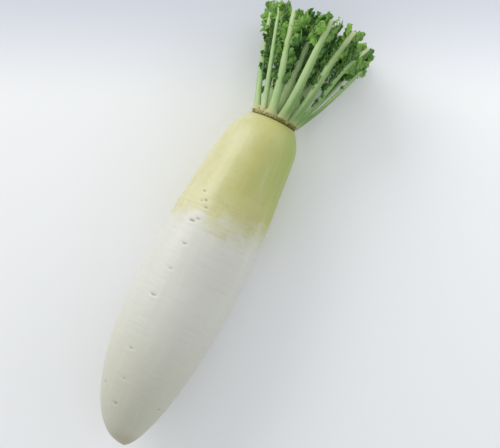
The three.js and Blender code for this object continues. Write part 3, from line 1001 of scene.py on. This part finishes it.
def crown_scales(settings, material):
    """Dried leaf bases and torn skin round the rim, left over from older leaves."""
    scales = []
    for i in range(settings.scales):
        turn = 2 * math.pi * (i + draw(i, 0, 80)) / settings.scales
        height = mix(0.6, 2.9, draw(i, 1, 80))
        lean = math.radians(mix(-8, 38, draw(i, 2, 80) ** 1.5))
        slant = math.radians(mix(-50, 50, draw(i, 3, 80)))
        radius = mix(0.95, 1.0, draw(i, 4, 80))
        size = mix(1.4, 5.2, draw(i, 5, 80) ** 3) * MM
        bend = mix(-0.1, 0.3, draw(i, 6, 80))
        kind, tone = i % SCALE_SHAPES, draw(i, 7, 80)
        scales.append(set_scale(turn, height, radius, slant, lean, size, bend, kind, tone))
    # Broad skirts, the remains of the leaf bases, hug the feet of the outer stalks.
    for index, stalk in enumerate(RINGS[0]["stalks"]):
        for part in (-1, 0, 1):
            key = 200 + 3 * index + part
            turn = math.radians(stalk[0] + part * SKIRT_STEP)
            slant = math.atan(mix(-0.25, 0.25, draw(key, 0, 85)))
            lean = math.radians(mix(1, 8, draw(key, 1, 85)))
            height = mix(1.0, 1.9, draw(key, 2, 85))
            size = mix(4.4, 7.6, draw(key, 3, 85)) * MM
            # Skirts on the side away from the light get a lower tone, so they are darker: painted shade.
            tone = mix(0.6, 1.05, draw(key, 4, 85)) - 0.35 * max(math.sin(turn), 0)
            kind = key % SCALE_SHAPES
            scales.append(set_scale(turn, height, 0.955, slant, lean, size, -0.25, kind, tone))
    shapes = [scale_shape(seed) for seed in range(SCALE_SHAPES)]
    made = set_shapes("crown_scales", scales, shapes, material)
    for shape in shapes:
        bpy.data.objects.remove(shape)
    return made


def scale_material(settings):
    """Dried scales, paler towards their tips."""
    material, tree, shader = new_material("crown_scale", **{"Specular IOR Level": 0.25, "Roughness": 0.8})
    tone = calc(tree, "MULTIPLY_ADD", reading(tree, "reach"), 0.35, reading(tree, "tone"))
    base = blend(tree, ease(tree, tone, 0.15, 1.1), settings.cork, settings.straw)
    dark = mottle(tree, Scale=500.0, Detail=3.0, start=0.45, end=0.7)
    base = blend(tree, dark, base, (0.20, 0.14, 0.05, 1), strength=0.45)
    wire(tree, shader, Base_Color=base)
    return material


class DAIKON_OT_crown(bpy.types.Operator):
    """Make the corky crown that the leaf stalks grow from, and its dried scales"""

    bl_idname = "daikon.crown"
    bl_label = "Crown"

    def execute(self, context):
        settings = context.scene.daikon_crown
        dressed(crown_mesh(settings), cork_material(settings), "crown_cork", "crown")
        material = scale_material(settings)
        dressed(crown_scales(settings, material), material, "crown_cork", "crown")
        return {"FINISHED"}


# ---------------------------------------------------------------- the leaf stalks

STALK_STEPS = 64  # rows of points along a stalk, without its two ends
# The closed foot of a stalk, row by row: the size of the section.
FOOT_END = (0.02, 0.5, 0.93)
# The cut end, from its edge inwards: the section's size, how far it is dished, how far it is pith.
CUT_END = ((0.965, -0.03, 0.3), (0.9, -0.06, 1), (0.72, -0.25, 1), (0.4, -0.36, 1), (0.02, -0.4, 1))


def stalk_line(ring, index):
    """Points along a stalk, closed at both ends, with what each holds for the section there."""
    info = RINGS[ring]
    size, dish, pith = np.array(CUT_END).T
    body = np.linspace(0, 1, STALK_STEPS) ** 1.15
    along = np.concatenate([np.zeros(len(FOOT_END)), body, np.ones(len(CUT_END))])
    scale = np.concatenate([FOOT_END, np.ones(STALK_STEPS), size])
    before = np.zeros(len(FOOT_END) + STALK_STEPS)
    height = mix(info["step"] + PIECE_GAP, stalk_top(ring, index), along)
    turn = stalk_turn(ring, index, height)
    centre = fan_point(height, turn, info["share"])
    centre[:, 0] += np.concatenate([before, dish])
    outwards, sideways = directions(turn)
    # A stalk flares where it grows from the crown.
    wide = stalk_half(ring, index, height) * scale * (1 + 0.15 * np.exp(-along / 0.10))
    thick = stalk_half(ring, index, height, "thick") * scale * (1 + 0.14 * np.exp(-along / 0.05))
    # How far a stalk stands on the side of the fan away from the light: a mask for painted shade.
    sun = min(max(0.5 + 0.9 * math.sin(math.radians(info["stalks"][index][0])), 0), 1)
    same = np.ones_like(along)
    return dict(
        centre=centre, wide=wide[:, None] * sideways, thick=thick[:, None] * outwards,
        along=along, cut=np.concatenate([before, pith]), core=scale, turn=turn,
        tone=same * draw(ring, index, 12), sun=same * sun, young=same * min(ring, 1),
    )


def stalk_piece(ring, material, settings):
    """All the stalks of one ring, as one piece."""
    lines = [stalk_line(ring, i) for i in range(stalk_count(ring))]
    held = {name: np.concatenate([line[name] for line in lines]) for name in lines[0]}
    centre = place(held.pop("centre"))
    wide, thick = held.pop("wide") * MM, held.pop("thick") * MM
    size = len(lines[0]["along"])
    edges = [(i * size + j, i * size + j + 1) for i in range(len(lines)) for j in range(size - 1)]
    made = new_object("leaf_stalks_" + RING_NAMES[ring], centre, [], edges)
    give(made.data, "FLOAT_VECTOR", centre=centre, wide=wide, thick=thick)
    give(made.data, "FLOAT", **held)
    tree = bpy.data.node_groups.get("Leaf stalks") or stalk_tree()
    grown(made, tree, Ribs=settings.ribs, **{"Rib depth": settings.rib_depth, "Material": material})
    face_outwards(made.data)
    return made


def stalk_material(settings):
    """Stalks: what colour they have depends on their height, on their ring, and on how far they stand on
    the side of the fan away from the light, which carries painted shade.
    """
    material, tree, shader = new_material(
        "leaf_stalk",
        **{
            "Subsurface Weight": 0.15,
            "Subsurface Radius": (0.002, 0.003, 0.001),
            "Subsurface Scale": 1.0,
        },
    )
    along, cut, core = reading(tree, "along"), reading(tree, "cut"), reading(tree, "core")
    tone, sun, young = reading(tree, "tone"), reading(tree, "sun"), reading(tree, "young")
    beside = reading(tree, "beside")
    rise = calc(tree, "MULTIPLY_ADD", tone, 0.25, along)
    low = blend(tree, sun, settings.base, settings.shaded_base)
    high = blend(tree, sun, settings.green, settings.shaded_green)
    body = blend(tree, ease(tree, rise, 0.0, 0.45), low, high)
    # Lighter green for the inner rings: partly their own fresher colour, partly painted light against the
    # shade of the stalks round them.
    young = calc(tree, "MULTIPLY", young, calc(tree, "MULTIPLY_ADD", sun, -0.5, 0.95))
    body = blend(tree, young, body, settings.young)
    pale = mottle(tree, Scale=260.0, Stretch=(0.06, 1.0, 1.0), Detail=3.0, start=0.45, end=0.7)
    body = blend(tree, pale, body, settings.base, strength=0.28)
    blotch = mottle(tree, Scale=60.0, Detail=2.0, start=0.4, end=0.7)
    body = blend(tree, blotch, body, (0.48, 0.56, 0.20, 1), strength=0.2)
    # A stalk's flank is darker green, most the one facing away from the light and on stalks on the shaded
    # side of the fan, and a little its other edge: painted shade.
    flank = ease(tree, beside, -0.2, 0.8)
    flank = calc(tree, "MULTIPLY", flank, calc(tree, "MULTIPLY_ADD", sun, 0.40, 0.42))
    other = ease(tree, calc(tree, "MULTIPLY", beside, -1.0), 0.6, 1.0)
    other = calc(tree, "MULTIPLY", other, 0.25)
    low_flank = calc(tree, "SUBTRACT", ease(tree, beside, -0.5, 0.5), ease(tree, along, 0.1, 0.5))
    low_flank = calc(tree, "MAXIMUM", low_flank, 0.0)
    low_flank = calc(tree, "MULTIPLY", low_flank, calc(tree, "MULTIPLY", sun, 0.55))
    edge = calc(tree, "ADD", calc(tree, "ADD", flank, low_flank), other)
    edge = calc(tree, "MULTIPLY", edge, calc(tree, "MULTIPLY_ADD", young, -0.6, 1.0))
    body = blend(tree, edge, body, settings.flank)
    # Dry next to the cut and at the foot, where it was skin of the crown.
    dry = ease(tree, rise, 0.80, 1.04)
    dry = calc(tree, "MULTIPLY", dry, calc(tree, "MULTIPLY_ADD", sun, 0.55, 0.2))
    body = blend(tree, dry, body, settings.dry)
    foot = fall(tree, along, 0.01, 0.085)
    foot = calc(tree, "MULTIPLY", foot, calc(tree, "MULTIPLY_ADD", sun, -0.45, 0.85))
    body = blend(tree, foot, body, settings.foot)
    pith = blend(tree, ease(tree, core, 0.5, 0.95), (0.80, 0.84, 0.62, 1), settings.cut)
    base = blend(tree, cut, body, pith)
    rough = calc(tree, "MULTIPLY_ADD", pale, 0.15, 0.36)
    fibres = mottle(tree, "Height", Scale=500.0, Stretch=(0.05, 1.0, 1.0), Detail=3.0)
    wire(tree, shader, Base_Color=base, Roughness=rough, Normal=bump(tree, fibres, 0.35, 0.0006))
    return material


class DAIKON_OT_stalks(bpy.types.Operator):
    """Make the ribbed leaf stalks with their cut ends"""

    bl_idname = "daikon.stalks"
    bl_label = "Leaf stalks"

    def execute(self, context):
        settings = context.scene.daikon_stalks
        material = stalk_material(settings)
        for ring in range(len(RINGS)):
            piece = stalk_piece(ring, material, settings)
            dressed(piece, material, "leaf_stalk", *stalk_nodes(ring))
        return {"FINISHED"}


# ---------------------------------------------------------------- the leaflets

# Half the width of a leaflet, at shares of its length.
LARGE_OUTLINE = ((0, 0.07), (0.28, 0.34), (0.44, 0.27), (0.76, 0.46), (0.93, 0.30), (1, 0.09))
SMALL_OUTLINE = ((0, 0.14), (0.28, 0.38), (0.62, 0.46), (0.9, 0.28), (1, 0.10))
LARGE_SHAPES, SMALL_SHAPES = 4, 3  # how many different ones there are of each
LARGE_COLUMNS, SMALL_COLUMNS = 9, 3  # points across one
SMALL_TEETH = 3
SMALL_BELOW = 8.0  # leaflets shorter than this have a small shape


def leaflet_shape(outline, teeth, columns, settings, seed):
    """A leaflet with toothed margins, puckered between its side veins."""
    across = np.linspace(-1, 1, columns)
    rows, swell = [], []
    for tooth in range(teeth):
        high = mix(0.7, 1.25, draw(seed, tooth, 40))
        for part, width in ((0.0, 1 - settings.tooth_depth), (0.32, 0.96), (0.72, 1.06)):
            rows.append((tooth + part) / teeth)
            swell.append(width if part == 0 else mix(1, width, high))
    rows.append(1.0)
    swell.append(1.0)
    rows, swell = np.array(rows), np.array(swell)
    half = np.interp(rows, *zip(*outline)) * swell
    v, u = np.meshgrid(rows, across, indexing="ij")
    half = half[:, None]
    x = v + 0.4 * np.abs(u) * half * (1 - v)
    y = u * half
    wave = np.sin(2 * np.pi * (2.6 * v + draw(seed, 1, 41)) + np.where(u > 0, 2.0, 0.0))
    pucker = np.cos(2 * np.pi * teeth * v) * np.abs(u) * (1 - np.abs(u))
    z = 0.45 * half * np.abs(u) + settings.ruffle * wave * u**2 * (0.4 + v) - 0.08 * pucker * half
    z += 0.10 * np.sin(3.1 * np.pi * v + 3 * draw(seed, 2, 41)) * v
    z -= 0.03 * np.exp(-((u / 0.16) ** 2))
    thick = 0.012 + 0.022 * (1 - u**2) * (1 - 0.6 * v)
    top = np.stack([x, y, z + thick / 2], -1).reshape(-1, 3)
    below = np.stack([x, y, z - thick / 2], -1).reshape(-1, 3)
    reach, aside = np.tile(v.ravel(), 2), np.tile(u.ravel(), 2)
    under = np.repeat([0.0, 1.0], v.size)
    points, faces = [tuple(p) for p in (*top, *below)], sheet_faces(len(rows), columns)
    return new_shape(f"leaflet_{seed}", points, faces, reach=reach, aside=aside, under=under)


def set_leaflet(ring, index, height, side, lean, fold, roll, long, kind, tone):
    """One leaflet: its stalk, where on the stalk's edge it is, and how it is turned, sized and bent."""
    turn = stalk_turn(ring, index, height)
    outwards, sideways = (Vector(v) for v in directions(turn))
    sideways *= side
    away = sideways * math.cos(fold) - outwards * math.sin(fold)
    along = UP * math.cos(lean) + away * math.sin(lean)
    face = along.cross(away).normalized()
    face = face * math.cos(roll) + along.cross(face) * math.sin(roll)
    foot = Vector(fan_point(height, turn, RINGS[ring]["share"]))
    foot += sideways * 0.6 * float(stalk_half(ring, index, height))
    bend = (UP - away * 0.8) * 0.12 * long * MM
    return index, foot, along, face, bend, long * MM, kind, tone


def bare_to(ring, index, side):
    """How high one edge of a stalk is bare."""
    return RINGS[ring]["bare"].get(index, (0, 0))[1 if side > 0 else 0]


def leaf_tone_and_light(ring, chance, share):
    """How light a leaflet is: by chance, and as painted light and shade by its ring and by how near it is
    to the cut, lighter on the outer ring and near the cut, darker deeper in the fan.
    """
    return chance + RINGS[ring]["light"] + 1.3 * (share - 0.75)


def main_leaflets(ring):
    """The leaflets that the solids have too."""
    info = RINGS[ring]
    made = []
    for index in range(stalk_count(ring)):
        cut, seed = stalk_top(ring, index), 100 * ring + index
        for item in range(info["leaflets"]):
            for side in (-1, 1):
                key = 2 * item + (1 if side > 0 else 0)
                share = (item + (0.5 if side > 0 else 0) + 0.3 * draw(seed, key, 3)) / info["leaflets"]
                height = mix(info["lowest"], cut - 9, min(max(share, 0), 1))
                if height <= bare_to(ring, index, side):
                    continue
                lean = mix(44, 58, draw(seed, side, 4)) + 8 * draw(seed, key, 4) + 12 * height / cut
                lean = math.radians(lean)
                room = (cut + 4 * draw(seed, key, 5) - height) / math.cos(lean)
                size = info["longest"] * mix(0.85, 1.1, draw(seed, key, 6))
                long = min(mix(4, size, (height / cut) ** 1.1), room)
                fold = math.radians(mix(*info["fold"], draw(seed, side, 7)) + 10 * draw(seed, key, 7))
                roll = side * math.radians(mix(25, 45, draw(seed, side, 8)) + 8 * draw(seed, key, 8))
                large = int(LARGE_SHAPES * draw(seed, key, 11))
                kind = LARGE_SHAPES if long < SMALL_BELOW else large
                tone = leaf_tone_and_light(ring, draw(seed, key, 13), height / cut)
                made.append(set_leaflet(ring, index, height, side, lean, fold, roll, long, kind, tone))
    return made


# Tiny leaflets low on an otherwise bare edge: ring, stalk, height, side, fold in degrees, length.
NUBS = (
    (0, 9, 36, 1, -72, 7.0), (0, 9, 46, 1, -78, 6.5), (0, 9, 58.5, 1, -70, 8.5), (0, 9, 33, 1, 55, 4.6),
    (0, 9, 41, 1, 50, 5.6), (0, 3, 40, 1, 10, 3.5), (0, 3, 52, 1, 10, 4.5), (0, 3, 50, -1, 10, 4.0),
    (0, 2, 47, 1, 10, 3.8), (0, 10, 20, -1, -20, 3.6),
)


def small_leaflets(ring, pairs):
    """Smaller, curlier leaflets that fill in between the main ones."""
    info = RINGS[ring]
    made = []
    for key, (own, index, height, side, fold, long) in enumerate(NUBS):
        if own == ring:
            lean, fold = math.radians(66), math.radians(fold)
            roll = side * math.radians(20 + 7 * key)
            kind = LARGE_SHAPES + key % SMALL_SHAPES
            made.append(set_leaflet(ring, index, height, side, lean, fold, roll, long, kind, 0.1))
    for index in range(stalk_count(ring)):
        cut, seed = stalk_top(ring, index), 100 * ring + index
        for item in range(pairs):
            for side in (-1, 1):
                key = 50 + 2 * item + (1 if side > 0 else 0)
                share = (item + draw(seed, key, 60)) / pairs
                height = mix(info["lowest"] + 6, cut - 2.5, share**0.9)
                if height <= bare_to(ring, index, side):
                    continue
                lean = math.radians(mix(15, 75, draw(seed, key, 61)))
                size = mix(4.5, 13, (height / cut) ** 1.3) * mix(0.75, 1.25, draw(seed, key, 62))
                long = min(size, (cut + 4 * draw(seed, key, 63) - height) / math.cos(lean))
                low, high = info["fold"][0] - 35, info["fold"][1] + (45 if ring == 0 else 20)
                fold = math.radians(mix(low, high, draw(seed, key, 64)))
                roll = side * math.radians(mix(-40, 70, draw(seed, key, 65)))
                kind = LARGE_SHAPES + int(SMALL_SHAPES * draw(seed, key, 66))
                tone = leaf_tone_and_light(ring, draw(seed, key, 67), height / cut)
                made.append(set_leaflet(ring, index, height, side, lean, fold, roll, long, kind, tone))
    return made


def leaflet_piece(ring, shapes, material, settings):
    """All the leaflets of one ring of stalks, as one piece."""
    pairs = settings.small_pairs if ring < 2 else settings.small_pairs // 3
    stalk, *leaflets = zip(*main_leaflets(ring), *small_leaflets(ring, pairs))
    name = "leaflets_" + RING_NAMES[ring]
    made = set_shapes(name, zip(*leaflets), shapes, material, stalk=stalk)
    mesh = made.data
    points = points_of(mesh) / MM - TAIL
    stalk = np.round(take(mesh, "stalk")).astype(int)
    for i in range(stalk_count(ring)):
        own = stalk == i
        points[own] = into_cell(ring, i, points[own])
    mesh.vertices.foreach_set("co", place(points).astype(np.float32).ravel())
    mesh.update()
    return made


def leaflet_material(settings):
    """Leaflets: deep to lighter green by their tone, which holds painted light and shade, with a midrib
    and side veins.
    """
    material, tree, shader = new_material(
        "leaflet",
        **{
            "Subsurface Weight": 0.1,
            "Subsurface Radius": (0.001, 0.002, 0.0005),
            "Subsurface Scale": 1.0,
            "Specular IOR Level": 0.28,
        },
    )
    reach, aside, under = reading(tree, "reach"), reading(tree, "aside"), reading(tree, "under")
    tone = reading(tree, "tone")
    wide = calc(tree, "ABSOLUTE", aside)
    patches = mottle(tree, Scale=220.0, Detail=3.0, start=0.3, end=0.7)
    # A leaflet's tone carries painted light near the cut and on the outer ring, and painted shade deeper
    # in the fan.
    young = calc(tree, "MULTIPLY_ADD", patches, 0.5, calc(tree, "MULTIPLY_ADD", tone, 1.05, -0.42))
    base = blend(tree, ease(tree, tone, -0.4, 0.3), settings.deep, settings.green)
    base = blend(tree, young, base, settings.young)
    swept = calc(tree, "MULTIPLY_ADD", wide, -0.10, reach)
    step = calc(tree, "FRACT", calc(tree, "MULTIPLY", swept, float(settings.teeth)))
    side_vein = calc(tree, "ABSOLUTE", calc(tree, "SUBTRACT", step, 0.5))
    side_vein = fall(tree, side_vein, 0.03, 0.12)
    side_vein = calc(tree, "MULTIPLY", side_vein, calc(tree, "SUBTRACT", 1.0, wide))
    midrib = fall(tree, wide, 0.04, 0.12)
    veins = calc(tree, "MAXIMUM", midrib, calc(tree, "MULTIPLY", side_vein, 0.6))
    base = blend(tree, veins, base, settings.vein, strength=0.55)
    base = blend(tree, under, base, settings.vein, strength=0.25)
    rough = calc(tree, "MULTIPLY_ADD", patches, 0.15, 0.42)
    cells = mottle(tree, "Height", Scale=800.0, Detail=3.0)
    height = calc(tree, "MULTIPLY_ADD", veins, -0.5, cells)
    wire(tree, shader, Base_Color=base, Roughness=rough, Normal=bump(tree, height, 0.4, 0.0005))
    return material


class DAIKON_OT_leaflets(bpy.types.Operator):
    """Make the toothed leaflets that are left on the stalks"""

    bl_idname = "daikon.leaflets"
    bl_label = "Leaflets"

    def execute(self, context):
        settings = context.scene.daikon_leaflets
        material = leaflet_material(settings)
        large = (LARGE_OUTLINE, settings.teeth, LARGE_COLUMNS)
        small = (SMALL_OUTLINE, SMALL_TEETH, SMALL_COLUMNS)
        kinds = [large] * LARGE_SHAPES + [small] * SMALL_SHAPES
        shapes = [leaflet_shape(*kind, settings, seed) for seed, kind in enumerate(kinds)]
        for ring in range(len(RINGS)):
            piece = leaflet_piece(ring, shapes, material, settings)
            dressed(piece, material, "leaf_stalk", *stalk_nodes(ring))
        for shape in shapes:
            bpy.data.objects.remove(shape)
        return {"FINISHED"}


# ---------------------------------------------------------------- stage

FLOOR_HALF = 4.0  # metres
# Each light's name, place, target, width and depth in metres, and tint. Its power is a setting.
LIGHTS = (
    ("key", (0.85, 1.50, 0.80), (0, 0, 0.03), (1.7, 1.2), (1.0, 0.985, 0.96)),
    ("fill", (0.3, -1.5, 0.75), (0, 0, 0.03), (1.6, 1.1), (0.97, 0.985, 1.0)),
    ("side", (0.62, -0.45, 0.34), (0.20, -0.10, 0.02), (0.6, 0.4), (1.0, 1.0, 1.0)),
)
CAMERA_AIM = (211.1, -20.3, 40)  # millimetres, from the tail tip
CAMERA_DISTANCE = 1.1963  # metres
SENSOR_WIDTH, FOCAL_LENGTH = 36.0, 102.096


def stage_material(settings):
    """The pale surface, darker past the leaves: painted shade in place of the light's falloff."""
    material, tree, shader = new_material("pale_surface")
    haze = mottle(tree, Scale=3.0, Detail=2.0, start=0.2, end=0.8)
    spot = add(tree, "ShaderNodeTexCoord").outputs["Object"]
    away = vector_calc(tree, "DOT_PRODUCT", spot, (0.91, 0.41, 0.0))
    base = blend(tree, haze, settings.floor, (0.84, 0.85, 0.88, 1), strength=0.15)
    # Darker and bluer past the leaves: painted shade.
    base = blend(tree, ease(tree, away, 0.11, 0.23), base, settings.far_floor_shade)
    wire(tree, shader, Base_Color=base, Roughness=calc(tree, "MULTIPLY_ADD", haze, 0.06, 0.55))
    return material


def area_light(name, spot, target, size, tint, strength):
    """A rectangular soft light, turned to its target."""
    light = bpy.data.lights.new(name, "AREA")
    light.shape, light.size, light.size_y = "RECTANGLE", *size
    light.energy, light.color = strength, tint
    made = bpy.data.objects.new(name, light)
    made.location = spot
    made.rotation_euler = (Vector(target) - Vector(spot)).to_track_quat("-Z", "Y").to_euler()
    bpy.context.scene.collection.objects.link(made)


class DAIKON_OT_stage(bpy.types.Operator):
    """Make the pale surface, the soft lights and the camera"""

    bl_idname = "daikon.stage"
    bl_label = "Stage"

    def execute(self, context):
        settings = context.scene.daikon_stage
        scene = context.scene
        ends = ((-1, -1), (1, -1), (1, 1), (-1, 1))
        corners = [(x * FLOOR_HALF, y * FLOOR_HALF, 0) for x, y in ends]
        floor = new_object("surface", corners, [(0, 1, 2, 3)])
        floor.data.materials.append(stage_material(settings))

        for name, *light in LIGHTS:
            area_light(name, *light, getattr(settings, name))

        world = bpy.data.worlds.new("soft_sky")
        world.use_nodes = True
        sky = world.node_tree.nodes["Background"]
        sky.inputs["Color"].default_value = (0.93, 0.965, 1.0, 1)
        sky.inputs["Strength"].default_value = settings.sky
        scene.world = world
        scene.view_settings.view_transform = "Standard"

        lens = bpy.data.cameras.new("camera")
        lens.sensor_width, lens.lens = SENSOR_WIDTH, FOCAL_LENGTH
        lens.clip_start, lens.clip_end = 0.05, 20
        camera = bpy.data.objects.new("camera", lens)
        up, bearing = settings.elevation, settings.bearing
        level = Vector((math.cos(bearing), math.sin(bearing), 0))
        back = level * math.cos(up) + Vector((0, 0, math.sin(up)))
        camera.location = Vector(place(CAMERA_AIM)) + back * CAMERA_DISTANCE
        camera.rotation_mode = "QUATERNION"
        camera.rotation_quaternion = (-back).to_track_quat("-Z", "Y")
        scene.collection.objects.link(camera)
        scene.camera = camera
        return {"FINISHED"}


# ---------------------------------------------------------------- add-on


class DAIKON_PT_panel(bpy.types.Panel):
    bl_idname = "DAIKON_PT_panel"
    bl_label = "Daikon"
    bl_space_type = "VIEW_3D"
    bl_region_type = "UI"
    bl_category = "Daikon"

    def draw(self, context):
        for group, settings, operator in STEPS:
            box = self.layout.box()
            box.operator(operator.bl_idname)
            held = getattr(context.scene, group)
            for name in settings.__annotations__:
                box.prop(held, name)


STEPS = (
    ("daikon_root", DaikonRootSettings, DAIKON_OT_root),
    ("daikon_crown", DaikonCrownSettings, DAIKON_OT_crown),
    ("daikon_stalks", DaikonStalkSettings, DAIKON_OT_stalks),
    ("daikon_leaflets", DaikonLeafletSettings, DAIKON_OT_leaflets),
    ("daikon_stage", DaikonStageSettings, DAIKON_OT_stage),
)


def register():
    for group, settings, operator in STEPS:
        bpy.utils.register_class(settings)
        bpy.utils.register_class(operator)
        setattr(bpy.types.Scene, group, PointerProperty(type=settings))
    bpy.utils.register_class(DAIKON_PT_panel)


def unregister():
    bpy.utils.unregister_class(DAIKON_PT_panel)
    for group, settings, operator in reversed(STEPS):
        delattr(bpy.types.Scene, group)
        bpy.utils.unregister_class(operator)
        bpy.utils.unregister_class(settings)


def main():
    register()
    bpy.ops.daikon.root()
    bpy.ops.daikon.crown()
    bpy.ops.daikon.stalks()
    bpy.ops.daikon.leaflets()
    bpy.ops.daikon.stage()


if __name__ == "__main__":
    main()
